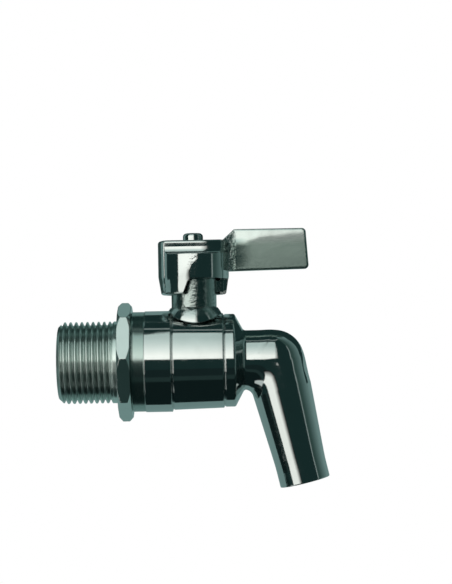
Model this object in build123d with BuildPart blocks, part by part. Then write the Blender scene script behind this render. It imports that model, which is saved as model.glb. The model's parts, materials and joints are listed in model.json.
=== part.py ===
from build123d import *
import os
from math import atan, cos, radians, sin, sqrt, tan

os.makedirs("parts", exist_ok=True)

# The thread axis is X, with the origin at the wrench flange's sealing face. Liquid flows
# towards +X, the stem points up along +Z and all sizes are in millimetres.

# Fits
THREAD_CLEARANCE = 0.05
SEAT_CLEARANCE = 0.08
RUNNING_CLEARANCE = 0.06
FACE_CLEARANCE = 0.05
STOP_CLEARANCE = 0.1

# Inlet thread, pipe size 3/4, drawn as rings of its pitch and depth
THREAD_RADIUS = 13.22
THREAD_PITCH = 1.814
THREAD_DEPTH = 1.16
THREAD_LAND = 0.3
THREAD_RINGS = 9
THREAD_COLLAR = 1.45
THREAD_LEAD_RADIUS = 11.7
THREAD_LEAD_LENGTH = 1.6
INLET_BORE_RADIUS = 8.5
INLET_THROAT_LENGTH = 2.0

# Octagonal wrench flange
FLANGE_WIDTH = 4.25
FLANGE_ACROSS_FLATS = 36.4
FLANGE_CORNER_RADIUS = 19.2
FLANGE_FACE_RADIUS = 18.0
FLANGE_CHAMFER = 1.1
FLANGE_TURN = 3.0

# Body barrel along X
EDGE_BREAK = 0.35
COLLAR_RADIUS = 16.1
COLLAR_LENGTH = 4.35
RIM_RADIUS = 16.3
RIM_LENGTH = 8.8
BARREL_RADIUS = 15.7
BARREL_END_RADIUS = 15.3
BARREL_LENGTH = 16.6
GROOVE_DEPTH = 0.3
GROOVE_HALF_WIDTH = 0.35
OUTLET_RING_RADIUS = 15.0
OUTLET_RING_LENGTH = 3.4
OUTLET_RING_ROUND = 0.7
OUTLET_CONE_LENGTH = 2.9
OUTLET_CONE_ROUND = 1.2

# Bent spout
SPOUT_RADIUS = 9.6
SPOUT_END_RADIUS = 8.15
SPOUT_BEND_X = 50.2
SPOUT_TILT = 13.0
SPOUT_LEG_LENGTH = 40.6
SPOUT_LAND_LENGTH = 6.5
SPOUT_TAPER_ROUND = 60.0
SPOUT_RIM_ROUND = 0.3
SPOUT_WALL = 1.9
BEND_INNER_RADIUS = 2.8
BEND_STEPS = 6

# Ball and seats
BALL_RADIUS = 11.5
BORE_RADIUS = 7.0
CAVITY_GAP = 0.4
SEAT_NEAR = 6.6
SEAT_FAR = 10.6
SEAT_RADIUS = 10.4
SEAT_BORE_MARGIN = 0.2
INSERT_RADIUS = 13.0
INSERT_OVER_SEAT = 2.2
GASKET_THICKNESS = 1.0
GASKET_INNER_GAP = 0.2

# Stem, neck and packing
STEM_X = 24.5
STEM_RADIUS = 3.5
STEM_SQUARE = 5.0
STEM_SQUARE_GAP = 0.4
STEM_COLLAR_RADIUS = 5.0
STEM_COLLAR_GAP = 0.25
STEM_COLLAR_THICKNESS = 1.8
TANG_THICKNESS = 4.8
TANG_WIDTH = 9.0
TANG_DEPTH = 3.2
SLOT_CLEARANCE = 0.1
WASHER_THICKNESS = 1.0
BOSS_BASE_Z = 11.0
BOSS_BASE_RADIUS = 9.5
BOSS_TOP_RADIUS = 7.6
BOSS_TOP_Z = 17.2
BOSS_BULGE = 0.7
NECK_RADIUS = 7.3
NECK_TOP = 28.2
PACKING_RADIUS = 5.4
PACKING_START = 18.0
PACKING_HEIGHT = 2.4
GLAND_RING_HEIGHT = 1.2
GLAND_HEAD_FLATS = 11.0
GLAND_HEAD_HEIGHT = 2.0

# Handle hub over the neck
HUB_RADIUS = 11.43
HUB_TOP = 38.8
HUB_TOP_ROUND = 0.9
HUB_ROOF = 2.3
HUB_LIP_DROP = 4.6
HUB_FLAT = 6.9
HUB_COVE = 2.0
SKIRT_BOTTOM = 21.4
SKIRT_BOTTOM_RADIUS = 10.5
SKIRT_BOTTOM_ROUND = 0.8
SKIRT_BORE = 8.6
CUP_GAP = 1.8
WINDOW_TOP = 26.4
WINDOW_STEP = 1.15
WINDOW_FLARE = 2.7
SOCKET_CLEARANCE = 0.1

# Stop lug on the neck, on the spout side
LUG_RADIUS = 9.7
LUG_FRONT = -0.55
LUG_BACK = 1.2
LUG_HEIGHT = 3.5
LUG_GAP = 0.5

# Lever blade
BLADE_THICKNESS = 3.8
BLADE_OVER_WINDOW = 2.3
BLADE_BOTTOM_RISE = 0.5
BLADE_OVER_HUB = 3.6
BLADE_REACH = 37.4
BLADE_END_SLANT = 0.9
BLADE_RISE_START = 9.4
BLADE_RISE_RUN = 3.9
BLADE_CORNER = 1.3
BLADE_EDGE_ROUND = 0.7
BLADE_ROOT_ROUND = 1.6

# Handle screw
SCREW_RADIUS = 1.5
SCREW_LENGTH = 8.0
SCREW_HEAD_RADIUS = 3.25
SCREW_HEAD_HEIGHT = 2.5
SCREW_HEAD_ROUND = 1.1
SCREW_KEY_FLATS = 2.5
SCREW_KEY_DEPTH = 1.3
SCREW_HOLE_CLEARANCE = 0.2

thread_root = THREAD_RADIUS - THREAD_DEPTH
lead_start = THREAD_COLLAR + THREAD_RINGS * THREAD_PITCH
thread_length = lead_start + THREAD_LEAD_LENGTH

body_start = FLANGE_WIDTH
collar_end = body_start + COLLAR_LENGTH
barrel_start = collar_end + RIM_LENGTH
barrel_end = barrel_start + BARREL_LENGTH
outlet_ring_end = barrel_end + OUTLET_RING_LENGTH
outlet_cone_end = outlet_ring_end + OUTLET_CONE_LENGTH

cavity_radius = BALL_RADIUS + CAVITY_GAP
pocket_radius = SEAT_RADIUS + THREAD_CLEARANCE
seat_start = STEM_X - SEAT_FAR
insert_end = seat_start + INSERT_OVER_SEAT
ledge_x = insert_end + GASKET_THICKNESS
outlet_bore_radius = SPOUT_END_RADIUS - SPOUT_WALL

collar_bottom = BALL_RADIUS + STEM_COLLAR_GAP
collar_top = collar_bottom + STEM_COLLAR_THICKNESS
washer_bottom = collar_top + FACE_CLEARANCE
washer_top = washer_bottom + WASHER_THICKNESS
gland_ring_bottom = PACKING_START + 2 * PACKING_HEIGHT
gland_nut_bottom = gland_ring_bottom + GLAND_RING_HEIGHT
gland_top = NECK_TOP + GLAND_HEAD_HEIGHT
stem_hole = STEM_RADIUS + RUNNING_CLEARANCE
stem_top = HUB_TOP - HUB_ROOF
square_start = gland_top + STEM_SQUARE_GAP

socket_square = STEM_SQUARE + 2 * SOCKET_CLEARANCE
cup_top = gland_top + CUP_GAP
hub_lip = HUB_TOP - HUB_LIP_DROP
lug_top = WINDOW_TOP - LUG_GAP
lug_bottom = lug_top - LUG_HEIGHT
blade_bottom = WINDOW_TOP + BLADE_OVER_WINDOW
blade_top = HUB_TOP + BLADE_OVER_HUB

stem_axis = Axis((STEM_X, 0, 0), (0, 0, 1))
stem_section = Plane((STEM_X, 0, 0), x_dir=(1, 0, 0), z_dir=(0, -1, 0))

# The spout bends about a pivot inside its elbow, from level to its tilted leg
bend_turn = 90 - SPOUT_TILT
pivot_depth = SPOUT_RADIUS + BEND_INNER_RADIUS
pivot_back = pivot_depth * tan(radians(bend_turn / 2))
bend_start = SPOUT_BEND_X - pivot_back
leg_axis = Vector(sin(radians(SPOUT_TILT)), 0, -cos(radians(SPOUT_TILT)))
leg_side = Vector(cos(radians(SPOUT_TILT)), 0, sin(radians(SPOUT_TILT)))
bend_plane = Plane((SPOUT_BEND_X, 0, 0), x_dir=leg_side, z_dir=leg_axis)
leg_section = Plane((SPOUT_BEND_X, 0, 0), x_dir=leg_axis, z_dir=(0, -1, 0))


def bend_reach(turn):
    """Distance from the bend's pivot to its rounded outer corner."""
    off = radians(abs(turn - bend_turn / 2))
    half = radians(bend_turn / 2)
    level_reach = pivot_depth + SPOUT_RADIUS
    corner_distance = pivot_depth / cos(half)
    if off > half - atan(pivot_back / level_reach):
        return level_reach / cos(half - off)
    return corner_distance * cos(off) + sqrt(SPOUT_RADIUS**2 - (corner_distance * sin(off)) ** 2)


def bend_section(turn):
    """Plane across the bend, with its origin in the middle of the tube, and the tube's half height."""
    reach = bend_reach(turn)
    middle = (reach + BEND_INNER_RADIUS) / 2
    out = Vector(sin(radians(turn)), 0, cos(radians(turn)))
    along = Vector(cos(radians(turn)), 0, -sin(radians(turn)))
    pivot = Vector(bend_start, 0, -pivot_depth)
    return Plane(pivot + out * middle, x_dir=out, z_dir=along), (reach - BEND_INNER_RADIUS) / 2


def ring(inner, outer, bottom, height):
    """Plain ring around the stem axis."""
    with BuildPart() as piece:
        with BuildSketch(Plane((STEM_X, 0, bottom))):
            Circle(outer)
            Circle(inner, mode=Mode.SUBTRACT)
        extrude(amount=height)
    return piece.part


def seat(start):
    """Seat ring from a place along X, hollowed to follow the ball."""
    with BuildPart() as piece:
        with BuildSketch(Plane.XZ):
            with Locations((start, BORE_RADIUS + SEAT_BORE_MARGIN)):
                Rectangle(
                    SEAT_FAR - SEAT_NEAR,
                    SEAT_RADIUS - BORE_RADIUS - SEAT_BORE_MARGIN,
                    align=(Align.MIN, Align.MIN),
                )
            with Locations((STEM_X, 0)):
                Circle(BALL_RADIUS + SEAT_CLEARANCE, mode=Mode.SUBTRACT)
        revolve(axis=Axis.X)
    return piece.part


# Body casting: barrel, spout, boss, neck and stop lug in one piece
with BuildPart() as valve_body:
    with BuildSketch(Plane.XZ):
        with BuildLine():
            Polyline(
                (body_start, 0),
                (body_start, COLLAR_RADIUS - EDGE_BREAK),
                (body_start + EDGE_BREAK, COLLAR_RADIUS),
                (collar_end, COLLAR_RADIUS),
                (collar_end, RIM_RADIUS),
                (barrel_start - GROOVE_HALF_WIDTH, RIM_RADIUS),
                (barrel_start, BARREL_RADIUS - GROOVE_DEPTH),
                (barrel_start + GROOVE_HALF_WIDTH, BARREL_RADIUS),
                (barrel_end - GROOVE_HALF_WIDTH, BARREL_END_RADIUS),
                (barrel_end, OUTLET_RING_RADIUS - GROOVE_DEPTH),
                (barrel_end + GROOVE_HALF_WIDTH, OUTLET_RING_RADIUS),
                (outlet_ring_end, OUTLET_RING_RADIUS),
                (outlet_cone_end, SPOUT_RADIUS),
                (SPOUT_BEND_X, SPOUT_RADIUS),
                (SPOUT_BEND_X, 0),
                close=True,
            )
        make_face()
        ring_corner = vertices().sort_by_distance((outlet_ring_end, OUTLET_RING_RADIUS))[0]
        fillet(ring_corner, OUTLET_RING_ROUND)
        cone_foot = vertices().sort_by_distance((outlet_cone_end, SPOUT_RADIUS))[0]
        fillet(cone_foot, OUTLET_CONE_ROUND)
    revolve(axis=Axis.X)
    with Locations((SPOUT_BEND_X, 0, 0)):
        Sphere(SPOUT_RADIUS)
    for step in range(BEND_STEPS + 1):
        section_plane, half_height = bend_section(bend_turn * step / BEND_STEPS)
        with BuildSketch(section_plane):
            Ellipse(half_height, SPOUT_RADIUS)
    loft()
    with BuildSketch(leg_section):
        with BuildLine():
            Polyline(
                (pivot_back, 0),
                (pivot_back, SPOUT_RADIUS),
                (SPOUT_LEG_LENGTH - SPOUT_LAND_LENGTH, SPOUT_END_RADIUS),
                (SPOUT_LEG_LENGTH, SPOUT_END_RADIUS),
                (SPOUT_LEG_LENGTH, 0),
                close=True,
            )
        make_face()
        taper_end = vertices().sort_by_distance((SPOUT_LEG_LENGTH - SPOUT_LAND_LENGTH, SPOUT_END_RADIUS))[0]
        fillet(taper_end, SPOUT_TAPER_ROUND)
        rim_corner = vertices().sort_by_distance((SPOUT_LEG_LENGTH, SPOUT_END_RADIUS))[0]
        fillet(rim_corner, SPOUT_RIM_ROUND)
    revolve(axis=Axis((SPOUT_BEND_X, 0, 0), leg_axis))
    with BuildSketch(stem_section):
        with BuildLine():
            SagittaArc((BOSS_BASE_RADIUS, BOSS_BASE_Z), (BOSS_TOP_RADIUS, BOSS_TOP_Z), -BOSS_BULGE)
            Polyline(
                (BOSS_TOP_RADIUS, BOSS_TOP_Z),
                (NECK_RADIUS, BOSS_TOP_Z),
                (NECK_RADIUS, NECK_TOP),
                (0, NECK_TOP),
                (0, BOSS_BASE_Z),
                (BOSS_BASE_RADIUS, BOSS_BASE_Z),
            )
        make_face()
    revolve(axis=stem_axis)
    with BuildSketch(Plane((STEM_X, 0, lug_bottom))):
        with Locations((PACKING_RADIUS + (NECK_RADIUS - PACKING_RADIUS) / 2, LUG_FRONT)):
            Rectangle(
                LUG_RADIUS - (PACKING_RADIUS + NECK_RADIUS) / 2,
                LUG_BACK - LUG_FRONT,
                align=(Align.MIN, Align.MIN),
            )
    extrude(amount=lug_top - lug_bottom)
    with BuildSketch(Plane.XZ):
        with BuildLine():
            Polyline(
                (body_start, 0),
                (body_start, INSERT_RADIUS + THREAD_CLEARANCE),
                (ledge_x, INSERT_RADIUS + THREAD_CLEARANCE),
                (ledge_x, cavity_radius),
                (STEM_X + SEAT_NEAR, cavity_radius),
                (STEM_X + SEAT_NEAR, pocket_radius),
                (STEM_X + SEAT_FAR, pocket_radius),
                (STEM_X + SEAT_FAR, BORE_RADIUS),
                (SPOUT_BEND_X, BORE_RADIUS),
                (SPOUT_BEND_X, 0),
                close=True,
            )
        make_face()
    revolve(axis=Axis.X, mode=Mode.SUBTRACT)
    with Locations((SPOUT_BEND_X, 0, 0)):
        Sphere(BORE_RADIUS, mode=Mode.SUBTRACT)
    with Locations(bend_plane):
        Cone(
            BORE_RADIUS,
            outlet_bore_radius,
            SPOUT_LEG_LENGTH,
            align=(Align.CENTER, Align.CENTER, Align.MIN),
            mode=Mode.SUBTRACT,
        )
    with BuildSketch(stem_section):
        with BuildLine():
            Polyline(
                (0, 0),
                (STEM_COLLAR_RADIUS + SLOT_CLEARANCE, 0),
                (STEM_COLLAR_RADIUS + SLOT_CLEARANCE, washer_top),
                (stem_hole, washer_top),
                (stem_hole, PACKING_START),
                (PACKING_RADIUS, PACKING_START),
                (PACKING_RADIUS, NECK_TOP),
                (0, NECK_TOP),
                close=True,
            )
        make_face()
    revolve(axis=stem_axis, mode=Mode.SUBTRACT)

# Wrench flange: an octagon turned down at its corners on both faces
with BuildPart() as wrench_flange:
    with BuildSketch(Plane.YZ):
        RegularPolygon(FLANGE_ACROSS_FLATS / 2, 8, major_radius=False, rotation=-FLANGE_TURN)
    extrude(amount=FLANGE_WIDTH)
    with BuildSketch(Plane.XZ):
        with BuildLine():
            Polyline(
                (0, 0),
                (0, FLANGE_FACE_RADIUS),
                (FLANGE_CHAMFER, FLANGE_CORNER_RADIUS),
                (FLANGE_WIDTH - FLANGE_CHAMFER, FLANGE_CORNER_RADIUS),
                (FLANGE_WIDTH, FLANGE_FACE_RADIUS),
                (FLANGE_WIDTH, 0),
                close=True,
            )
        make_face()
    revolve(axis=Axis.X, mode=Mode.INTERSECT)

# Inlet end: thread, wrench flange and the insert that screws into the body
thread_outline = []
for count in range(THREAD_RINGS):
    crest = -THREAD_COLLAR - count * THREAD_PITCH
    groove = crest - THREAD_PITCH / 2
    thread_outline.append((crest - THREAD_LAND / 2, THREAD_RADIUS))
    thread_outline.append((groove + THREAD_LAND / 2, thread_root))
    thread_outline.append((groove - THREAD_LAND / 2, thread_root))
    thread_outline.append((crest - THREAD_PITCH + THREAD_LAND / 2, THREAD_RADIUS))
with BuildPart() as inlet_end:
    add(wrench_flange.part)
    with BuildSketch(Plane.XZ):
        with BuildLine():
            Polyline(
                (insert_end, 0),
                (insert_end, INSERT_RADIUS),
                (0, INSERT_RADIUS),
                (0, THREAD_RADIUS),
                *thread_outline,
                (-lead_start, THREAD_RADIUS),
                (-thread_length, THREAD_LEAD_RADIUS),
                (-thread_length, 0),
                close=True,
            )
        make_face()
    revolve(axis=Axis.X)
    with BuildSketch(Plane.XZ):
        with BuildLine():
            Polyline(
                (-thread_length, 0),
                (-thread_length, INLET_BORE_RADIUS),
                (seat_start - 2 * INLET_THROAT_LENGTH, INLET_BORE_RADIUS),
                (seat_start - INLET_THROAT_LENGTH, BORE_RADIUS),
                (seat_start, BORE_RADIUS),
                (seat_start, pocket_radius),
                (insert_end, pocket_radius),
                (insert_end, 0),
                close=True,
            )
        make_face()
    revolve(axis=Axis.X, mode=Mode.SUBTRACT)

# Joint ring between the insert and the ledge inside the body
with BuildPart() as body_gasket:
    with BuildSketch(Plane.YZ.offset(insert_end)):
        Circle(INSERT_RADIUS)
        Circle(pocket_radius + GASKET_INNER_GAP, mode=Mode.SUBTRACT)
    extrude(amount=GASKET_THICKNESS)

# Ball, open along X, with the stem's slot across its top
with BuildPart() as ball:
    with Locations((STEM_X, 0, 0)):
        Sphere(BALL_RADIUS)
    with BuildSketch(Plane.YZ.offset(STEM_X)):
        Circle(BORE_RADIUS)
    extrude(amount=BALL_RADIUS, both=True, mode=Mode.SUBTRACT)
    with BuildSketch(Plane((STEM_X, 0, BALL_RADIUS))):
        Rectangle(TANG_THICKNESS + 2 * SLOT_CLEARANCE, 2 * BALL_RADIUS)
    extrude(amount=-TANG_DEPTH - SLOT_CLEARANCE, mode=Mode.SUBTRACT)

# Stem: tang, collar, shaft and the squared end that carries the handle
with BuildPart() as stem:
    with BuildSketch(Plane((STEM_X, 0, BALL_RADIUS - TANG_DEPTH))):
        Rectangle(TANG_THICKNESS, TANG_WIDTH)
    extrude(amount=TANG_DEPTH + STEM_COLLAR_GAP)
    with BuildSketch(Plane((STEM_X, 0, collar_bottom))):
        Circle(STEM_COLLAR_RADIUS)
    extrude(amount=STEM_COLLAR_THICKNESS)
    with BuildSketch(Plane((STEM_X, 0, collar_top))):
        Circle(STEM_RADIUS)
    extrude(amount=square_start - collar_top)
    with BuildSketch(Plane((STEM_X, 0, square_start))):
        Circle(STEM_RADIUS)
        Rectangle(STEM_SQUARE, STEM_SQUARE, mode=Mode.INTERSECT)
    extrude(amount=stem_top - square_start)
    with BuildSketch(Plane((STEM_X, 0, HUB_TOP - SCREW_LENGTH - SCREW_RADIUS))):
        Circle(SCREW_RADIUS + THREAD_CLEARANCE)
    extrude(amount=SCREW_LENGTH + SCREW_RADIUS, mode=Mode.SUBTRACT)

# Gland nut, screwed into the neck over the packing
with BuildPart() as gland_nut:
    with BuildSketch(Plane((STEM_X, 0, gland_nut_bottom))):
        Circle(PACKING_RADIUS - THREAD_CLEARANCE)
    extrude(amount=NECK_TOP - gland_nut_bottom)
    with BuildSketch(Plane((STEM_X, 0, NECK_TOP))):
        RegularPolygon(GLAND_HEAD_FLATS / 2, 6, major_radius=False)
    extrude(amount=GLAND_HEAD_HEIGHT)
    with BuildSketch(Plane((STEM_X, 0, gland_nut_bottom))):
        Circle(stem_hole)
    extrude(amount=gland_top - gland_nut_bottom, mode=Mode.SUBTRACT)

# Lever blade, upright along the flow
with BuildPart() as blade:
    with BuildSketch(stem_section):
        with BuildLine():
            Polyline(
                (BLADE_RISE_START, blade_bottom),
                (BLADE_REACH, blade_bottom + BLADE_BOTTOM_RISE),
                (BLADE_REACH - BLADE_END_SLANT, blade_top),
                (BLADE_RISE_START + BLADE_RISE_RUN, blade_top),
                (BLADE_RISE_START, HUB_TOP),
                close=True,
            )
        make_face()
        fillet(vertices().sort_by(Axis.X)[-2:], BLADE_CORNER)
    extrude(amount=BLADE_THICKNESS / 2, both=True)
    side_faces = faces().filter_by(Axis.Y)
    fillet(side_faces.edges(), BLADE_EDGE_ROUND)

# Handle casting: hub, windowed skirt and blade
with BuildPart() as handle:
    with BuildSketch(stem_section):
        with BuildLine():
            Polyline(
                (0, SKIRT_BOTTOM),
                (SKIRT_BOTTOM_RADIUS, SKIRT_BOTTOM),
                (HUB_RADIUS, WINDOW_TOP + SKIRT_BOTTOM_ROUND),
                (HUB_RADIUS, HUB_TOP),
                (0, HUB_TOP),
                close=True,
            )
        make_face()
        fillet(vertices().sort_by_distance((SKIRT_BOTTOM_RADIUS, SKIRT_BOTTOM))[0], SKIRT_BOTTOM_ROUND)
    revolve(axis=stem_axis)
    with BuildSketch(Plane.YZ.offset(STEM_X)):
        with Locations((HUB_FLAT, hub_lip)):
            Rectangle(HUB_RADIUS, HUB_TOP - hub_lip + HUB_COVE, align=(Align.MIN, Align.MIN))
        fillet(vertices().sort_by_distance((HUB_FLAT, hub_lip))[0], HUB_COVE)
        mirror(about=Plane.YZ)
    extrude(amount=2 * HUB_RADIUS, both=True, mode=Mode.SUBTRACT)
    fillet(faces().sort_by(Axis.Z)[-1].edges(), HUB_TOP_ROUND)
    with BuildSketch(Plane((STEM_X, 0, blade_bottom + BLADE_EDGE_ROUND))):
        Circle(HUB_RADIUS)
        Rectangle(HUB_RADIUS + BLADE_ROOT_ROUND, BLADE_THICKNESS, align=(Align.MIN, Align.CENTER))
        fillet(vertices().sort_by_distance((HUB_RADIUS, 0))[:2], BLADE_ROOT_ROUND)
        Rectangle(2 * HUB_RADIUS, 2 * HUB_FLAT, align=(Align.MIN, Align.CENTER), mode=Mode.INTERSECT)
    extrude(amount=HUB_TOP - HUB_TOP_ROUND - blade_bottom - BLADE_EDGE_ROUND)
    add(blade.part)
    with BuildSketch(Plane((STEM_X, 0, SKIRT_BOTTOM))):
        Circle(SKIRT_BORE)
    extrude(amount=cup_top - SKIRT_BOTTOM, mode=Mode.SUBTRACT)
    with BuildSketch(stem_section):
        with BuildLine():
            Polyline(
                (LUG_FRONT - STOP_CLEARANCE, WINDOW_TOP),
                (LUG_FRONT - STOP_CLEARANCE - WINDOW_STEP, WINDOW_TOP - WINDOW_STEP),
                (LUG_FRONT - STOP_CLEARANCE - WINDOW_FLARE, SKIRT_BOTTOM),
                (HUB_RADIUS, SKIRT_BOTTOM),
                (HUB_RADIUS, WINDOW_TOP),
                close=True,
            )
        make_face()
    extrude(amount=HUB_RADIUS, mode=Mode.SUBTRACT)
    with BuildSketch(Plane((STEM_X, 0, SKIRT_BOTTOM))):
        Rectangle(HUB_RADIUS, LUG_BACK + STOP_CLEARANCE, align=(Align.MIN, Align.MIN))
    extrude(amount=WINDOW_TOP - SKIRT_BOTTOM, mode=Mode.SUBTRACT)
    with BuildSketch(Plane((STEM_X, 0, cup_top))):
        Circle(STEM_RADIUS + SOCKET_CLEARANCE)
        Rectangle(socket_square, socket_square, mode=Mode.INTERSECT)
    extrude(amount=stem_top - cup_top + SOCKET_CLEARANCE, mode=Mode.SUBTRACT)
    with BuildSketch(Plane((STEM_X, 0, cup_top))):
        Circle(SCREW_RADIUS + SCREW_HOLE_CLEARANCE)
    extrude(amount=HUB_TOP - cup_top, mode=Mode.SUBTRACT)

# Handle screw with a rounded head and a key socket
with BuildPart() as handle_screw:
    with BuildSketch(Plane((STEM_X, 0, HUB_TOP - SCREW_LENGTH))):
        Circle(SCREW_RADIUS)
    extrude(amount=SCREW_LENGTH)
    with BuildSketch(Plane((STEM_X, 0, HUB_TOP))):
        Circle(SCREW_HEAD_RADIUS)
    extrude(amount=SCREW_HEAD_HEIGHT)
    fillet(edges().sort_by(Axis.Z)[-1], SCREW_HEAD_ROUND)
    with BuildSketch(Plane((STEM_X, 0, HUB_TOP + SCREW_HEAD_HEIGHT))):
        RegularPolygon(SCREW_KEY_FLATS / 2, 6, major_radius=False)
    extrude(amount=-SCREW_KEY_DEPTH, mode=Mode.SUBTRACT)

inlet_seat = seat(seat_start)
outlet_seat = seat(STEM_X + SEAT_NEAR)
thrust_washer = ring(stem_hole, STEM_COLLAR_RADIUS, washer_bottom, WASHER_THICKNESS)
packing_outer = PACKING_RADIUS - THREAD_CLEARANCE
packing_ring_lower = ring(stem_hole, packing_outer, PACKING_START, PACKING_HEIGHT)
packing_ring_upper = ring(stem_hole, packing_outer, PACKING_START + PACKING_HEIGHT, PACKING_HEIGHT)
gland_ring = ring(stem_hole, packing_outer, gland_ring_bottom, GLAND_RING_HEIGHT)

nodes = {
    "valve_body": valve_body.part,
    "inlet_end": inlet_end.part,
    "body_gasket": body_gasket.part,
    "inlet_seat": inlet_seat,
    "outlet_seat": outlet_seat,
    "ball": ball.part,
    "stem": stem.part,
    "thrust_washer": thrust_washer,
    "packing_ring_lower": packing_ring_lower,
    "packing_ring_upper": packing_ring_upper,
    "gland_ring": gland_ring,
    "gland_nut": gland_nut.part,
    "handle": handle.part,
    "handle_screw": handle_screw.part,
}
for name, node in nodes.items():
    node.label = name
    export_step(node, f"parts/{name}.step")
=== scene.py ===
import json
import math

import bmesh
import bpy
import mathutils
from mathutils import Matrix, Vector


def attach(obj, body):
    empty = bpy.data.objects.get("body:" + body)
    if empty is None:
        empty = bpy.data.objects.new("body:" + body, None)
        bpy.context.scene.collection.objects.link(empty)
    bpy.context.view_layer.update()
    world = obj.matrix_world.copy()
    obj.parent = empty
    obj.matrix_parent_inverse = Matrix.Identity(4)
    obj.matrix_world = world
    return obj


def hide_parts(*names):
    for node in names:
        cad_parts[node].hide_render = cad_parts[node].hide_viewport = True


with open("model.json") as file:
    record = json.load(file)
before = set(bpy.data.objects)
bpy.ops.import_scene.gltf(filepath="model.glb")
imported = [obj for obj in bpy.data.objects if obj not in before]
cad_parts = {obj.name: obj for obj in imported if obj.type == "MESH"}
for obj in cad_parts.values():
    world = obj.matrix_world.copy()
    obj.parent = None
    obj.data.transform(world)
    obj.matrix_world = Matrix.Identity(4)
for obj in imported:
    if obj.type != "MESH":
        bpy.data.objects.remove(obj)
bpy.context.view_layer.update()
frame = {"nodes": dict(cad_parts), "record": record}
nodes = frame["nodes"]
scene = bpy.context.scene

AXIS_X = Vector((1, 0, 0))
AXIS_Z = Vector((0, 0, 1))

# Lengths are in metres and angles in degrees.

# The thread. Its crest, length and lead follow the solid, and PHASE is a share of its pitch.
PITCH = 0.001814
CREST = 0.01322
ROOT = 0.01206
ROOT_FLAT = 0.17
FLANK = 0.66
ROUNDING = 0.65
PHASE = 0.82
THREAD_START = -0.0006
THREAD_END = -0.019376
LEAD_RADIUS = 0.0117
LEAD_LENGTH = 0.0016
THREAD_BORE = 0.0085
PLAIN_LENGTH = 0.00145
RUN_OUT = 0.0011
ROWS_A_TURN = 20
AROUND = 144

# The wrench flange
JOIN = -0.0005
FACETS = 8
FACET = 0.01772
FACET_TURN = 19.5
FLANGE_SHARP = 12
FLANGE_BLEND = 0.0004

# The body's collar, boss, neck and lug
STEM_X = 0.0245
NECK_START = 0.0173
NECK_BLEND = 0.0002
BOSS_START = 0.0124
BOSS_RADIUS = 0.0090
BOSS_BLEND = 0.0004
COLLAR_END = 0.0086
COLLAR_BLEND = 0.0001
COLLAR_ROOT = 0.0055
COLLAR_CURVE = 130.0
LUG_X = 0.0315
STOP_SLOPE = -0.2

# The handle's hub
HUB_LIP = 0.0345
LIP_TURN = 0.0265
LIP_CURVE = -22.0
LIP_MIDDLE = 0.0367
LIP_LEAN = 0.05
SKIRT_X = 0.0335
SKIRT_END = 0.0226
WINDOW_TOP = 0.0263
MOULD_LINE = 0.0093
LINE_HALF = 0.0004
LINE_DEPTH = 0.0002
UPRIGHT = 0.5
DRESS_SLANT = 1.2
DRESS_START = 0.0003
DRESS_WIDTH = 0.003
DRESS_CURVE = 14.0
DRESS_WAVE = 0.0008
DRESS_LEFT = 0.0215
DRESS_RIGHT = 0.0240
HANDLE_SHARP = 25

# The handle's blade
SEAM_X = 0.0367
SEAM_HALF = 0.0006
SEAM_FADE = 0.0018
BLADE_BOTTOM = 0.0287
BLADE_MIDDLE = 0.0356
BLADE_TOP = 0.0424
BLADE_LEAN = 0.045
# Heights between which the painted highlight along the blade's top fades in
TOP_HIGHLIGHT_START = 0.0372
TOP_HIGHLIGHT_END = 0.0396
CROWN_X = (0.0380, 0.0460, 0.0620)
CROWN_Z = (0.0366, 0.0394)
CROWN_CLIMB = 0.0014
CROWN_BLEND = 0.0012
CROWN_CURVE = 60
CROWN_WAVE = 0.0002
CROWN_WAVE_SCALE = 420
HOLLOW_END = 0.0440
HOLLOW_CURVE = 14
HOLLOW_LOW = (0.0300, 0.0340)
HOLLOW_HIGH = (0.0372, 0.0392)
HOLLOW_LEAST = 0.2
BLADE_RISE = 0.0006
GRID = 0.0005

# Distances within which points count as one
SAME_POINT = 1e-7
SAME_CUT = 1e-6

# Base colours of the metals and the seals
GREY = (0.60, 0.63, 0.62)
PALE = (0.68, 0.71, 0.70)
FLANGE_GREY = (0.68, 0.73, 0.71)
FLANGE_PALE = (0.76, 0.81, 0.79)
BALL_GREY = (0.62, 0.64, 0.64)
BALL_PALE = (0.69, 0.71, 0.71)
TURNED_GREY = (0.55, 0.57, 0.57)
TURNED_PALE = (0.63, 0.65, 0.65)
COLLAR_COLOUR = (0.44, 0.53, 0.50)
NECK_COLOUR = (0.44, 0.50, 0.48)
CREST_COLOUR = (0.76, 0.85, 0.81)
# Painted shade: the thread's roots are coloured darker than its crests
ROOT_SHADE_COLOUR = (0.46, 0.54, 0.51)
SATIN_DARK = (0.51, 0.63, 0.57)
SATIN_LIGHT = (0.58, 0.70, 0.64)
# Painted highlight: the lighter colour along the blade's top
TOP_HIGHLIGHT_COLOUR = (0.73, 0.79, 0.76)
SEAL_DARK = (0.86, 0.86, 0.84)
SEAL_LIGHT = (0.93, 0.93, 0.91)

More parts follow.
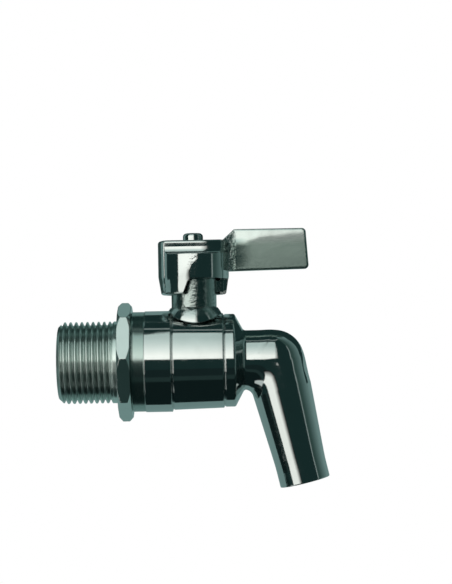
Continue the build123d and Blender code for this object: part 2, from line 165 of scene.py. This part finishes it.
# Roughness and the fine relief. THREAD_GRAIN_TURN is a share of a full turn.
COLLAR_ROUGH = 0.2
BOSS_ROUGH = 0.17
THREAD_ROUGH = 0.28
THREAD_GRAIN = 0.8
THREAD_GRAIN_TURN = 0.25
BLADE_ROUGH = 0.27
SEAL_ROUGH = (0.42, 0.55)
NOISE_RANGE = (0.3, 0.7)
CLOUD_SCALE = 160.0
CLOUD_STRENGTH = 0.08
CLOUD_DEPTH = 0.0002
POLISH_SCALE = 420.0
POLISH_DETAIL = 4.0
EDGE_SAMPLES = 6
CAST_SCALE = 1100.0
CAST_DETAIL = 3.0
CAST_DEPTH = 0.0004
BOSS_GRAIN = 0.22
NECK_GRAIN = 0.1
SATIN_SCALE = 300.0
SATIN_DETAIL = 3.0
DRESS_SCALE = 700.0
DRESS_DETAIL = 3.0
SEAM_SCALE = 1200.0
SEAM_DETAIL = 4.0
SEAM_DEPTH = 0.0012
SEAM_GRAIN = 0.9
BLADE_GRAIN = 0.015
SEAL_SCALE = 500.0


def tree_of(name):
    """A new material with its node tree and its principled shader."""
    material = bpy.data.materials.new(name)
    material.use_nodes = True
    tree = material.node_tree
    return material, tree, tree.nodes["Principled BSDF"]


def own_coords(tree):
    """Coordinates in the object's own frame."""
    return tree.nodes.new("ShaderNodeTexCoord").outputs["Object"]


def axes(tree, coords):
    """The three parts of a vector."""
    split = tree.nodes.new("ShaderNodeSeparateXYZ")
    tree.links.new(coords, split.inputs["Vector"])
    return split.outputs["X"], split.outputs["Y"], split.outputs["Z"]


def noise(tree, coords, scale, detail=2.0):
    """Noise over the coordinates, around 0.5."""
    node = tree.nodes.new("ShaderNodeTexNoise")
    node.inputs["Scale"].default_value = scale
    node.inputs["Detail"].default_value = detail
    tree.links.new(coords, node.inputs["Vector"])
    return node.outputs["Fac"]


def between(tree, value, low, high, start=0.0, end=1.0):
    """A value carried from one range to another and held at its ends."""
    node = tree.nodes.new("ShaderNodeMapRange")
    for name, number in (("From Min", low), ("From Max", high), ("To Min", start), ("To Max", end)):
        node.inputs[name].default_value = number
    tree.links.new(value, node.inputs["Value"])
    return node.outputs["Result"]


def passing(tree, value, place, blend):
    """0 before a place and 1 after it, with a short blend on both sides of it."""
    return between(tree, value, place - blend, place + blend)


def fill(tree, socket, value):
    """Set a socket to a number, or link it to another socket."""
    if isinstance(value, float):
        socket.default_value = value
    else:
        tree.links.new(value, socket)


def mix_value(tree, factor, first, second):
    """A number between two others."""
    node = tree.nodes.new("ShaderNodeMix")
    tree.links.new(factor, node.inputs[0])
    fill(tree, node.inputs[2], first)
    fill(tree, node.inputs[3], second)
    return node.outputs[0]


def mix_colour(tree, factor, first, second):
    """A colour between two others."""
    node = tree.nodes.new("ShaderNodeMix")
    node.data_type = "RGBA"
    tree.links.new(factor, node.inputs[0])
    for socket, value in ((node.inputs[6], first), (node.inputs[7], second)):
        if isinstance(value, tuple):
            socket.default_value = (*value, 1.0)
        else:
            tree.links.new(value, socket)
    return node.outputs[2]


def mix_vector(tree, factor, first, second):
    """A vector between two others."""
    node = tree.nodes.new("ShaderNodeMix")
    node.data_type = "VECTOR"
    tree.links.new(factor, node.inputs[0])
    tree.links.new(first, node.inputs[4])
    tree.links.new(second, node.inputs[5])
    return node.outputs[1]


def bump(tree, height, strength, normal, distance=1.0):
    """The normal of a surface raised by a height, which is in metres at a distance of 1."""
    node = tree.nodes.new("ShaderNodeBump")
    node.inputs["Distance"].default_value = distance
    fill(tree, node.inputs["Strength"], strength)
    tree.links.new(height, node.inputs["Height"])
    tree.links.new(normal, node.inputs["Normal"])
    return node.outputs["Normal"]


def calc(tree, operation, first, second=0.0):
    """A sum, comparison or other calculation on two values or numbers."""
    node = tree.nodes.new("ShaderNodeMath")
    node.operation = operation
    fill(tree, node.inputs[0], first)
    fill(tree, node.inputs[1], second)
    return node.outputs[0]


def product(tree, *values):
    """Several values or numbers multiplied."""
    total = values[0]
    for value in values[1:]:
        total = calc(tree, "MULTIPLY", total, value)
    return total


def past(tree, value, limit):
    """How far a value is past a limit, and 0 before it."""
    return calc(tree, "MAXIMUM", calc(tree, "SUBTRACT", value, limit), 0.0)


def distance_of(tree, first, second):
    """Distance from an axis, from the two coordinates across it."""
    squares = calc(tree, "ADD", product(tree, first, first), product(tree, second, second))
    return calc(tree, "SQRT", squares)


def steel(name, dark, light, smooth, edge, detail=None):
    """Polished steel with faint waviness and softened edges."""
    material, tree, shader = tree_of(name)
    coords = own_coords(tree)
    cloud = noise(tree, coords, CLOUD_SCALE)
    shader.inputs["Metallic"].default_value = 1.0
    colour = mix_colour(tree, cloud, dark, light)
    roughness = between(tree, noise(tree, coords, POLISH_SCALE, POLISH_DETAIL), *NOISE_RANGE, *smooth)
    softened = tree.nodes.new("ShaderNodeBevel")
    softened.samples = EDGE_SAMPLES
    softened.inputs["Radius"].default_value = edge
    normal = bump(tree, cloud, CLOUD_STRENGTH, softened.outputs["Normal"], CLOUD_DEPTH)
    if detail is not None:
        colour, roughness, normal = detail(tree, coords, colour, roughness, normal)
    tree.links.new(colour, shader.inputs["Base Color"])
    tree.links.new(roughness, shader.inputs["Roughness"])
    tree.links.new(normal, shader.inputs["Normal"])
    return material


def cast_neck(tree, coords, colour, roughness, normal):
    """Polished body with a duller collar, a mottled boss and a neck left as cast."""
    x, y, z = axes(tree, coords)
    collar = between(tree, x, COLLAR_END - COLLAR_BLEND, COLLAR_END + COLLAR_BLEND, 1.0, 0.0)
    colour = mix_colour(tree, collar, colour, COLLAR_COLOUR)
    roughness = mix_value(tree, collar, roughness, COLLAR_ROUGH)
    rise = past(tree, COLLAR_ROOT, x)
    normal = bump(tree, product(tree, rise, rise, COLLAR_CURVE), 1.0, normal)
    from_stem = distance_of(tree, calc(tree, "SUBTRACT", x, STEM_X), y)
    boss = between(tree, from_stem, BOSS_RADIUS, BOSS_RADIUS + BOSS_BLEND, 1.0, 0.0)
    boss = product(tree, boss, passing(tree, z, BOSS_START, BOSS_BLEND))
    neck = passing(tree, z, NECK_START, NECK_BLEND)
    colour = mix_colour(tree, neck, colour, NECK_COLOUR)
    roughness = mix_value(tree, boss, roughness, BOSS_ROUGH)
    lug = product(tree, calc(tree, "GREATER_THAN", x, LUG_X), neck)
    rough = calc(tree, "SUBTRACT", neck, lug)
    strength = calc(tree, "ADD", product(tree, boss, BOSS_GRAIN), product(tree, rough, NECK_GRAIN))
    normal = bump(tree, noise(tree, coords, CAST_SCALE, CAST_DETAIL), strength, normal, CAST_DEPTH)
    normal = bump(tree, product(tree, x, STOP_SLOPE), lug, normal)
    return colour, roughness, normal


def cut_thread(tree, coords, colour, roughness, normal):
    """The thread keeps the grain of the cutting tool around its axis, and has shade painted into its roots
    as a darker colour.
    """
    x, y, z = axes(tree, coords)
    flange = between(tree, x, -FLANGE_BLEND, 0.0)
    deep = between(tree, distance_of(tree, y, z), ROOT, CREST, 1.0, 0.0)
    # Painted shade: the colour darkens from the crests down into the roots
    root_shade = mix_colour(tree, deep, CREST_COLOUR, ROOT_SHADE_COLOUR)
    colour = mix_colour(tree, flange, root_shade, colour)
    roughness = mix_value(tree, flange, THREAD_ROUGH, roughness)
    plain = tree.nodes.new("ShaderNodeNewGeometry").outputs["Normal"]
    normal = mix_vector(tree, flange, plain, normal)
    grain = tree.nodes.new("ShaderNodeTangent")
    grain.direction_type = "RADIAL"
    grain.axis = "X"
    shader = tree.nodes["Principled BSDF"]
    tree.links.new(grain.outputs["Tangent"], shader.inputs["Tangent"])
    shader.inputs["Anisotropic"].default_value = THREAD_GRAIN
    shader.inputs["Anisotropic Rotation"].default_value = THREAD_GRAIN_TURN
    return colour, roughness, normal


def lip_height(tree, x, z):
    """The hub's lip turns away to the right and leans at its top."""
    right = past(tree, x, LIP_TURN)
    turned = product(tree, right, right, LIP_CURVE)
    lean = product(tree, past(tree, z, LIP_MIDDLE), LIP_LEAN)
    return calc(tree, "ADD", turned, lean)


def dress_height(tree, coords, x, z):
    """The hub's upper front, dressed back along a slanting line that is ragged to the right."""
    wave = noise(tree, coords, DRESS_SCALE, DRESS_DETAIL)
    wave = between(tree, wave, *NOISE_RANGE, -DRESS_WAVE, DRESS_WAVE)
    wave = product(tree, wave, between(tree, x, DRESS_LEFT, DRESS_RIGHT))
    above = calc(tree, "SUBTRACT", calc(tree, "ADD", z, wave), product(tree, x, DRESS_SLANT))
    above = past(tree, above, DRESS_START)
    near = calc(tree, "MINIMUM", above, DRESS_WIDTH)
    far = calc(tree, "SUBTRACT", above, near)
    depth = calc(tree, "ADD", product(tree, near, near, 0.5), product(tree, far, DRESS_WIDTH))
    return product(tree, depth, -DRESS_CURVE)


def cast_handle(tree, coords, colour, roughness, normal):
    """Satin blade with a highlight painted along its top as a lighter colour, and a rough seam where it
    leaves the polished hub.
    """
    x, _, z = axes(tree, coords)
    blade = passing(tree, x, SEAM_X, SEAM_HALF)
    from_seam = calc(tree, "ABSOLUTE", calc(tree, "SUBTRACT", x, SEAM_X))
    seam = between(tree, from_seam, SEAM_HALF, SEAM_FADE, 1.0, 0.0)
    satin = mix_colour(tree, noise(tree, coords, SATIN_SCALE, SATIN_DETAIL), SATIN_DARK, SATIN_LIGHT)
    # Painted highlight: the blade is coloured lighter along its top
    satin = mix_colour(tree, between(tree, z, TOP_HIGHLIGHT_START, TOP_HIGHLIGHT_END), satin, TOP_HIGHLIGHT_COLOUR)
    colour = mix_colour(tree, blade, colour, satin)
    roughness = mix_value(tree, blade, roughness, BLADE_ROUGH)
    lip = product(tree, calc(tree, "GREATER_THAN", z, HUB_LIP), calc(tree, "SUBTRACT", 1.0, blade))
    normal = bump(tree, lip_height(tree, x, z), lip, normal)
    hub = product(tree, calc(tree, "LESS_THAN", z, HUB_LIP), calc(tree, "LESS_THAN", x, SKIRT_X))
    normal = bump(tree, dress_height(tree, coords, x, z), hub, normal)
    skirt = product(tree, calc(tree, "LESS_THAN", z, WINDOW_TOP), calc(tree, "GREATER_THAN", z, SKIRT_END))
    skirt = product(tree, skirt, calc(tree, "GREATER_THAN", x, SKIRT_X))
    normal = bump(tree, product(tree, x, STOP_SLOPE), skirt, normal)
    strength = calc(tree, "ADD", product(tree, seam, SEAM_GRAIN), product(tree, blade, BLADE_GRAIN))
    normal = bump(tree, noise(tree, coords, SEAM_SCALE, SEAM_DETAIL), strength, normal, SEAM_DEPTH)
    return colour, roughness, normal


def seal():
    """White plastic with faint clouds."""
    material, tree, shader = tree_of("white_seal_look")
    cloud = noise(tree, own_coords(tree), SEAL_SCALE)
    tree.links.new(mix_colour(tree, cloud, SEAL_DARK, SEAL_LIGHT), shader.inputs["Base Color"])
    tree.links.new(between(tree, cloud, *NOISE_RANGE, *SEAL_ROUGH), shader.inputs["Roughness"])
    return material


# Each look's two colours, the range of its roughness and the radius of its edges
looks = {
    "polished_steel": steel("polished_steel_look", GREY, PALE, (0.05, 0.10), 0.0005, cast_neck),
    "thread_steel": steel("thread_steel_look", FLANGE_GREY, FLANGE_PALE, (0.09, 0.14), 0.0004, cut_thread),
    "handle_steel": steel("handle_steel_look", GREY, PALE, (0.06, 0.11), 0.0003, cast_handle),
    "ball_steel": steel("ball_steel_look", BALL_GREY, BALL_PALE, (0.04, 0.07), 0.0002),
    "turned_steel": steel("turned_steel_look", TURNED_GREY, TURNED_PALE, (0.2, 0.3), 0.0002),
    "screw_steel": steel("screw_steel_look", GREY, PALE, (0.08, 0.13), 0.0002),
    "white_seal": seal(),
}
for part in frame["record"]["subparts"]:
    mesh = nodes[part["node"]].data
    mesh.materials.clear()
    mesh.materials.append(looks[part["material_slot"]])


def along(value, low, high, start, end):
    """A number carried from one range to another and held at its ends."""
    share = min(max((value - low) / (high - low), 0.0), 1.0)
    return start + (end - start) * share


def form_of(node):
    """A copy of a node's mesh, and a form of it to work on."""
    mesh = nodes[node].data.copy()
    form = bmesh.new()
    form.from_mesh(mesh)
    merge(form, SAME_POINT)
    return mesh, form


def merge(form, distance):
    """Make points that lie together one."""
    bmesh.ops.remove_doubles(form, verts=form.verts[:], dist=distance)


def mark_sharp(form, angle):
    """Keep edges sharp where their faces meet at more than an angle."""
    form.normal_update()
    for edge in form.edges:
        edge.smooth = len(edge.link_faces) == 2 and edge.calc_face_angle() < math.radians(angle)


def new_piece(name, mesh, form):
    """A smooth-shaded object made from a form."""
    for face in form.faces:
        face.smooth = True
    form.to_mesh(mesh)
    form.free()
    piece = bpy.data.objects.new(name, mesh)
    scene.collection.objects.link(piece)
    return piece


def cut_off(form, place, outward, **side):
    """Cut a form with a plane and take away one side of it."""
    everything = form.verts[:] + form.edges[:] + form.faces[:]
    return bmesh.ops.bisect_plane(
        form, geom=everything, plane_co=outward * place, plane_no=outward, **side
    )


def cut_flange(form):
    """Keep the solid's flange and cut its facets so that they meet at sharp corners."""
    cut_off(form, JOIN, AXIS_X, clear_inner=True)
    for k in range(FACETS):
        turn = math.radians(FACET_TURN + 360 / FACETS * k)
        outward = Vector((0, math.cos(turn), math.sin(turn)))
        cut = cut_off(form, FACET, outward, clear_outer=True)
        outline = [item for item in cut["geom_cut"] if isinstance(item, bmesh.types.BMEdge)]
        bmesh.ops.edgeloop_fill(form, edges=outline)
    mark_sharp(form, FLANGE_SHARP)


def thread_radius(x, turn):
    """Radius of the thread at a place along the axis and a turn about it."""
    phase = (x / PITCH - turn / (2 * math.pi) + PHASE) % 1.0
    flank = min(max((abs(2 * phase - 1) - ROOT_FLAT) / FLANK, 0.0), 1.0)
    rounded = flank * flank * (3 - 2 * flank)
    height = ((1 - ROUNDING) * flank + ROUNDING * rounded) * (CREST - ROOT)
    plain = min(max((x + PLAIN_LENGTH + RUN_OUT) / RUN_OUT, 0.0), 1.0)
    radius = ROOT + height + (CREST - ROOT - height) * plain
    lead = LEAD_RADIUS + (x - THREAD_END) * (CREST - LEAD_RADIUS) / LEAD_LENGTH
    return min(radius, lead)


def point_at(form, x, radius, turn):
    """A new point at a radius and a turn about the thread's axis."""
    return form.verts.new((x, radius * math.cos(turn), radius * math.sin(turn)))


def add_thread(form, turns):
    """The thread's outside, in rows of points that follow the helix."""
    step = PITCH / ROWS_A_TURN
    rows = []
    for i in range(math.ceil((THREAD_START - THREAD_END) / step) + ROWS_A_TURN + 1):
        row = []
        for turn in turns:
            x = THREAD_START + PITCH * turn / (2 * math.pi) - i * step
            x = min(max(x, THREAD_END), THREAD_START)
            row.append(point_at(form, x, thread_radius(x, turn), turn))
        rows.append(row)
    for i in range(len(rows) - 1):
        for j in range(AROUND):
            k = (j + 1) % AROUND
            back = 0 if k else ROWS_A_TURN
            first = rows[max(i - back, 0)][k]
            second = rows[max(i + 1 - back, 0)][k]
            corners = list(dict.fromkeys((rows[i][j], first, second, rows[i + 1][j])))
            if len(corners) > 2:
                form.faces.new(corners)


def add_bore(form, turns):
    """The thread's end face and its bore."""
    rings = []
    for x, radius in ((THREAD_END, LEAD_RADIUS), (THREAD_END, THREAD_BORE), (THREAD_START, THREAD_BORE)):
        rings.append([point_at(form, x, radius, turn) for turn in turns])
    for first, second in zip(rings, rings[1:]):
        for j in range(AROUND):
            k = (j + 1) % AROUND
            form.faces.new((first[j], first[k], second[k], second[j]))
    for ring in rings[:2]:
        for j in range(AROUND):
            form.edges.get((ring[j], ring[(j + 1) % AROUND])).smooth = False


def close_rims(form):
    """Join the thread's open rims, outside and in the bore, to those of the flange."""
    middle = (THREAD_BORE + ROOT) / 2
    rims = [edge for edge in form.edges if len(edge.link_faces) == 1]
    for outer in (True, False):
        pair = [edge for edge in rims if (edge.verts[0].co.yz.length > middle) == outer]
        bmesh.ops.bridge_loops(form, edges=pair)
    bmesh.ops.recalc_face_normals(form, faces=form.faces[:])


def threaded_end():
    """The inlet end with its thread cut as a helix, joined to the flange of the solid."""
    mesh, form = form_of("inlet_end")
    cut_flange(form)
    turns = [2 * math.pi * j / AROUND for j in range(AROUND)]
    add_thread(form, turns)
    add_bore(form, turns)
    merge(form, SAME_POINT)
    close_rims(form)
    piece = new_piece("inlet_end_threaded", mesh, form)
    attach(piece, "valve")
    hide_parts("inlet_end")


def blade_relief(x, z):
    """Depth of the blade's front face: leaning a little, crowned along the top, hollow at its root."""
    start, bend, end = CROWN_X
    edge = along(x, start, bend, *CROWN_Z) + along(x, bend, end, 0.0, CROWN_CLIMB)
    wave = CROWN_WAVE * mathutils.noise.noise(Vector((x, 0, z)) * CROWN_WAVE_SCALE)
    above = z + wave - edge
    near = min(max(above, 0.0), CROWN_BLEND)
    far = max(above - CROWN_BLEND, 0.0)
    crown = CROWN_CURVE * (near * near + 2 * CROWN_BLEND * far)
    band = along(z, *HOLLOW_LOW, HOLLOW_LEAST, 1.0) * along(z, *HOLLOW_HIGH, 1.0, 0.0)
    hollow = HOLLOW_CURVE * max(HOLLOW_END - x, 0.0) ** 2 * band
    lean = BLADE_LEAN * (z - BLADE_MIDDLE)
    return lean - crown + hollow - BLADE_RISE


def cut_across(form, faces, place, across):
    """Split some faces of a form along a plane."""
    edges = list({edge for face in faces for edge in face.edges})
    points = list({vertex for face in faces for vertex in face.verts})
    bmesh.ops.bisect_plane(form, geom=points + edges + faces, plane_co=across * place, plane_no=across)


def faces_out(item, point):
    """Whether a face or vertex of the hub looks away from the stem, to the side."""
    outward = item.normal.x * (point.x - STEM_X) + item.normal.y * point.y
    return outward > 0 and abs(item.normal.z) < UPRIGHT


def mould_lines(form):
    """Shallow grooves down both ends of the hub, where the halves of its mould met."""
    for side in (-1, 1):
        for offset in (-LINE_HALF, 0, LINE_HALF):
            hub = [face for face in form.faces if faces_out(face, face.calc_center_median())]
            hub = [face for face in hub if max(vertex.co.x for vertex in face.verts) < SEAM_X]
            cut_across(form, hub, STEM_X + side * (MOULD_LINE + offset), AXIS_X)
    form.normal_update()
    grooves = []
    for vertex in form.verts:
        beside = abs(abs(vertex.co.x - STEM_X) - MOULD_LINE)
        if beside < SAME_POINT and faces_out(vertex, vertex.co):
            grooves.append((vertex, vertex.normal.copy()))
    for vertex, outward in grooves:
        vertex.co -= outward * LINE_DEPTH


def shape_blade(form):
    """Cut a grid into the blade and move the points of its front face."""
    blade_end = max(vertex.co.x for vertex in form.verts)
    front = min(vertex.co.y for vertex in form.verts if vertex.co.x > blade_end - GRID)
    for across, start, end in ((AXIS_X, SEAM_X - 2 * GRID, blade_end), (AXIS_Z, BLADE_BOTTOM, BLADE_TOP)):
        for i in range(1, math.ceil((end - start) / GRID)):
            faces = [face for face in form.faces if min(v.co.x for v in face.verts) > SEAM_X - 3 * GRID]
            cut_across(form, faces, start + i * GRID, across)
    merge(form, SAME_CUT)
    mark_sharp(form, HANDLE_SHARP)
    for vertex in form.verts:
        share = along(vertex.co.x, SEAM_X - GRID, SEAM_X + GRID, 0.0, 1.0)
        share *= along(vertex.co.y, front, 0.0, 1.0, 0.0)
        vertex.co.y -= share * blade_relief(vertex.co.x, vertex.co.z)


def crowned_handle():
    """The handle with its mould lines and the front of its blade shaped as cast and polished by hand."""
    mesh, form = form_of("handle")
    mould_lines(form)
    shape_blade(form)
    piece = new_piece("handle_crowned", mesh, form)
    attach(piece, "lever")
    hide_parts("handle")


threaded_end()
crowned_handle()

# The studio: a floor, a softbox and cards that the metal mirrors
CENTRE = Vector((0.030, 0.0, 0.0))
FLOOR_Z = -0.45
FLOOR_HALF = 4
FLOOR_COLOUR = (0.9, 0.9, 0.9, 1.0)
FLOOR_ROUGH = 0.9
FLOOR_WHITE = 0.8
WHITE_START = 0.6
WHITE_END = 1.6
WORLD_LIGHT = 0.8
CARD_REACH = 1.4
CARD_LIFT = 0.001
PATCH_LIFT = 0.002
CARD_STEP = 6
NEAR = 1.3
FAR = 1.4
FARTHEST = 1.5
SHADE_CORNERS = ((0.036, 0.2, 0.05), (0.5, 0.2, 0.05), (0.5, 0.2, 0.6), (0.036, 0.2, 0.6))
LOW_EDGE = -19
HIGH_EDGE = 80

# Columns of the softbox: azimuth, lower edge and upper edge
SOFTBOX_COLUMNS = (
    (-55, -26, 63), (-40, -26, 63), (-24, -26, 63), (-13, -26, 63), (-12, 4.1, 63),
    (-8.2, 4.2, 63), (-7.8, 4.2, 70), (-4, 4.3, 70), (4, 4.2, 70), (12, 4.2, 70),
)
SOFTBOX_ROWS = 12
SOFTBOX_LOW = (0.98, 1.0, 0.95)
SOFTBOX_HIGH = (0.82, 1.0, 0.96)
TINT_Z = (0.25, 0.85)
UPPER_Z = (0.21, 0.83)
UPPER_STRENGTH = (1.42, 0.75)
RIGHT_X = (0.055, 0.22)
RIGHT_SHARE = (1.0, 0.3)
LOWER_X = (-0.42, -0.20)
LOWER_STRENGTH = (1.2, 0.0)
RAISED_Z = (-0.02, 0.07)
SIDE_FRONT = (0.04, 0.08, 0.072)
SIDE_BACK = (0.19, 0.30, 0.29)
SIDE_FADE = (76, 125)


def direction(azimuth, elevation):
    """Unit vector from the tap, with azimuth 0 towards the viewer and positive to the right."""
    a = math.radians(azimuth)
    e = math.radians(elevation)
    return Vector((math.sin(a) * math.cos(e), -math.cos(a) * math.cos(e), math.sin(e)))


def mesh_object(name, points, faces, material):
    """An object of the stage."""
    mesh = bpy.data.meshes.new(name)
    mesh.from_pydata(points, [], faces)
    mesh.materials.append(material)
    made = bpy.data.objects.new(name, mesh)
    scene.collection.objects.link(made)
    return made


def studio_only(made, lights=False):
    """A card or lamp that the metal mirrors and the camera looks past."""
    made.visible_camera = False
    made.visible_shadow = False
    made.visible_diffuse = lights
    made.visible_transmission = False


def glow(name, colour):
    """A material that gives off an even light."""
    material = bpy.data.materials.new(name)
    material.use_nodes = True
    tree = material.node_tree
    tree.nodes.remove(tree.nodes["Principled BSDF"])
    emission = tree.nodes.new("ShaderNodeEmission")
    emission.inputs["Color"].default_value = (*colour, 1.0)
    tree.links.new(emission.outputs["Emission"], tree.nodes["Material Output"].inputs["Surface"])
    return material


def softbox_glow():
    """White, brightest low down, falling off towards the top and the right end."""
    material = glow("softbox", SOFTBOX_LOW)
    tree = material.node_tree
    x, _, z = axes(tree, own_coords(tree))
    upward = between(tree, z, *UPPER_Z, *UPPER_STRENGTH)
    upper = product(tree, upward, between(tree, x, *RIGHT_X, *RIGHT_SHARE))
    lower = between(tree, x, *LOWER_X, *LOWER_STRENGTH)
    strength = mix_value(tree, between(tree, z, *RAISED_Z), lower, upper)
    colour = mix_colour(tree, between(tree, z, *TINT_Z), SOFTBOX_LOW, SOFTBOX_HIGH)
    emission = tree.nodes["Emission"]
    tree.links.new(colour, emission.inputs["Color"])
    tree.links.new(strength, emission.inputs["Strength"])
    return material


def side_glow():
    """Grey at the back that fades to a dark green round to the right."""
    material = glow("side_card", SIDE_BACK)
    tree = material.node_tree
    x, y, _ = axes(tree, own_coords(tree))
    azimuth = calc(tree, "ARCTAN2", calc(tree, "SUBTRACT", x, CENTRE.x), product(tree, y, -1.0))
    back = between(tree, azimuth, *map(math.radians, SIDE_FADE))
    colour = mix_colour(tree, back, SIDE_FRONT, SIDE_BACK)
    tree.links.new(colour, tree.nodes["Emission"].inputs["Color"])
    return material


def grid_faces(rows, columns):
    """Faces of a grid of points that runs along its columns first."""
    faces = []
    for i in range(rows):
        for j in range(columns):
            k = i * (columns + 1) + j
            faces.append((k, k + 1, k + columns + 2, k + columns + 1))
    return faces


def softbox():
    """Large lamp at the upper left, whose edges step up towards the right."""
    points = []
    for azimuth, low, high in SOFTBOX_COLUMNS:
        for i in range(SOFTBOX_ROWS + 1):
            points.append(CENTRE + direction(azimuth, low + (high - low) * i / SOFTBOX_ROWS))
    faces = grid_faces(len(SOFTBOX_COLUMNS) - 1, SOFTBOX_ROWS)
    studio_only(mesh_object("softbox", points, faces, softbox_glow()), True)


def card(name, azimuths, elevations, material, radius):
    """Part of a sphere around the tap, between two azimuths and two elevations."""
    left, right = azimuths
    low, high = elevations
    across = max(2, int((right - left) / CARD_STEP))
    up = max(2, int((high - low) / CARD_STEP))
    points = []
    for i in range(up + 1):
        elevation = low + (high - low) * i / up
        for j in range(across + 1):
            azimuth = left + (right - left) * j / across
            points.append(CENTRE + direction(azimuth, elevation) * radius)
    studio_only(mesh_object(name, points, grid_faces(up, across), material))


def flat_card(name, corners, material):
    """A card with four corners."""
    studio_only(mesh_object(name, corners, [(0, 1, 2, 3)], material))


def floor_card(name, start, end, material):
    """A strip of the floor, from a place nearer the viewer to one farther back."""
    height = FLOOR_Z + CARD_LIFT
    corners = [(-CARD_REACH, start, height), (CARD_REACH, start, height)]
    corners += [(CARD_REACH, end, height), (-CARD_REACH, end, height)]
    flat_card(name, corners, material)


def floor_patch(name, azimuths, elevations, material):
    """Part of the floor, between two azimuths and two elevations as the tap sees it."""
    height = FLOOR_Z + PATCH_LIFT
    corners = []
    for elevation, order in zip(elevations, (azimuths, reversed(azimuths))):
        away = height / math.tan(math.radians(elevation))
        for azimuth in order:
            corners.append(CENTRE + direction(azimuth, 0) * away + AXIS_Z * height)
    flat_card(name, corners, material)


dark = glow("dark_card", (0.012, 0.032, 0.031))
dim = glow("dim_card", (0.010, 0.022, 0.022))
dusk = glow("dusk_card", (0.020, 0.040, 0.038))
deep = glow("deep_card", (0.006, 0.014, 0.014))
grey = glow("grey_card", (0.19, 0.30, 0.29))
shade = glow("shade_card", (0.032, 0.062, 0.058))
side = side_glow()
table = glow("table_card", (0.62, 0.68, 0.66))
streak = glow("strip_lamp", (0.30, 0.36, 0.35))

softbox()
card("front", (-90, 62), (LOW_EDGE, 84), dark, FAR)
card("overhead_strip", (-60, 60), (77, HIGH_EDGE), streak, NEAR)
card("right_side", (62, 167), (LOW_EDGE, HIGH_EDGE), side, FAR)
card("back_left_low", (-167, -90), (LOW_EDGE, -4), grey, FAR)
card("back_left_far", (-167, -130), (-4, HIGH_EDGE), shade, FAR)
card("back_left", (-130, -100), (-4, HIGH_EDGE), grey, FAR)
card("left_edge", (-100, -90), (-4, HIGH_EDGE), dark, FAR)
card("right_strip", (62, 66), (LOW_EDGE, 45), streak, NEAR)
card("back", (167, 193), (LOW_EDGE, 47), grey, FAR)
card("back_high", (167, 193), (47, HIGH_EDGE), dark, FAR)
card("overhead", (-180, 180), (HIGH_EDGE, 90), dark, FARTHEST)
flat_card("shade_right", SHADE_CORNERS, dark)
floor_card("floor_front", -CARD_REACH, -0.62, dim)
floor_card("floor_stripe", -0.62, -0.43, dusk)
floor_card("floor_near", -0.43, 0.21, deep)
floor_patch("floor_left", (-74, -48), (-66, -24), table)
floor_card("floor_back", 0.21, CARD_REACH, grey)


def seen(tree):
    """One for rays that look straight at the background or see it mirrored."""
    path = tree.nodes.new("ShaderNodeLightPath")
    total = path.outputs["Is Camera Ray"]
    for name in ("Is Glossy Ray", "Is Transmission Ray"):
        total = calc(tree, "MAXIMUM", total, path.outputs[name])
    return total


def white_floor():
    """Pale floor that takes the shadow near the tap and runs out to plain white."""
    material, tree, shader = tree_of("white_floor")
    shader.inputs["Base Color"].default_value = FLOOR_COLOUR
    shader.inputs["Roughness"].default_value = FLOOR_ROUGH
    emission = tree.nodes.new("ShaderNodeEmission")
    away = tree.nodes.new("ShaderNodeVectorMath")
    away.operation = "LENGTH"
    tree.links.new(own_coords(tree), away.inputs[0])
    white = between(tree, away.outputs["Value"], WHITE_START, WHITE_END, FLOOR_WHITE, 1.0)
    blend = tree.nodes.new("ShaderNodeMixShader")
    tree.links.new(product(tree, seen(tree), white), blend.inputs[0])
    tree.links.new(shader.outputs["BSDF"], blend.inputs[1])
    tree.links.new(emission.outputs["Emission"], blend.inputs[2])
    tree.links.new(blend.outputs["Shader"], tree.nodes["Material Output"].inputs["Surface"])
    corners = [(-FLOOR_HALF, -FLOOR_HALF, FLOOR_Z), (FLOOR_HALF, -FLOOR_HALF, FLOOR_Z)]
    corners += [(FLOOR_HALF, FLOOR_HALF, FLOOR_Z), (-FLOOR_HALF, FLOOR_HALF, FLOOR_Z)]
    mesh_object("floor", corners, [(0, 1, 2, 3)], material)


def white_world():
    """White where it is seen or mirrored, and a little dimmer as light."""
    world = bpy.data.worlds.new("studio")
    world.use_nodes = True
    scene.world = world
    tree = world.node_tree
    ground = tree.nodes["Background"]
    ground.inputs["Color"].default_value = (1.0, 1.0, 1.0, 1.0)
    strength = between(tree, seen(tree), 0.0, 1.0, WORLD_LIGHT, 1.0)
    tree.links.new(strength, ground.inputs["Strength"])


white_floor()
white_world()

# The camera, at the photograph's viewing angle
EYE = Vector((0.0347, -0.560, 0.0))
AIM = Vector((0.0349, 0.0, 0.0221))
ROLL = -1.05
LENS = 106.6
CLIP_START = 0.01
camera = bpy.data.objects.new("camera", bpy.data.cameras.new("camera"))
camera.data.lens = LENS
camera.data.clip_start = CLIP_START
look = (AIM - EYE).to_track_quat("-Z", "Y").to_matrix().to_4x4()
camera.matrix_world = Matrix.Translation(EYE) @ look @ Matrix.Rotation(math.radians(ROLL), 4, "Z")
scene.collection.objects.link(camera)
scene.camera = camera
scene.view_settings.view_transform = "Standard"
